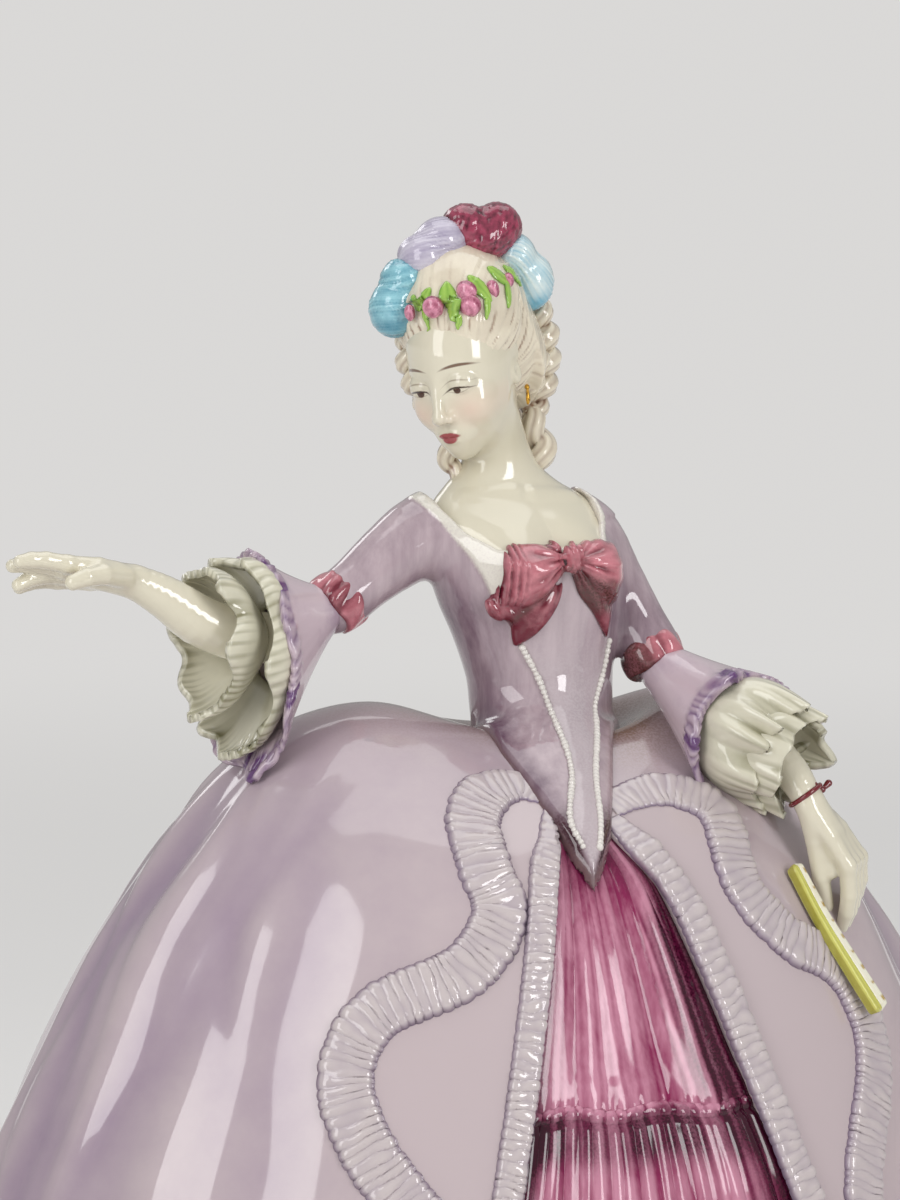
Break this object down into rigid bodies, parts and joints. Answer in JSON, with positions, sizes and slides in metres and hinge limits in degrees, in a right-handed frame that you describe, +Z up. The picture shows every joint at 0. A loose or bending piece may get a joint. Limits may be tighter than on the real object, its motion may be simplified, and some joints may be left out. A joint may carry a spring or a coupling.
{
  "type": "porcelain lady figurine",
  "caption": "Standing lady in a wide hooped court gown, one arm held out and the other hand over a folded fan, on a low oval base.",
  "frame": {"origin": "middle of the box of the whole figurine, on the underside of the base", "axes": "+Z up, -Y out of the open front of the gown, +X to the lady's left"},
  "size_m": [0.283, 0.1974, 0.2994],
  "materials": {
    "lilac_glaze": "gloss glaze",
    "trim_white": "gloss glaze",
    "petticoat_pink": "gloss glaze",
    "rose_glaze": "gloss glaze",
    "ivory_porcelain": "gloss glaze",
    "powdered_hair": "gloss glaze",
    "plume_rose": "gloss glaze",
    "plume_lavender": "gloss glaze",
    "plume_teal": "gloss glaze",
    "plume_pale_blue": "gloss glaze",
    "leaf_green": "gloss glaze",
    "fan_yellow": "gloss glaze",
    "gilding": "gloss glaze",
    "base_white": "gloss glaze"
  },
  "bodies": {
    "root": {"porcelain_lady": "lilac_glaze"}
  },
  "joints": []
}
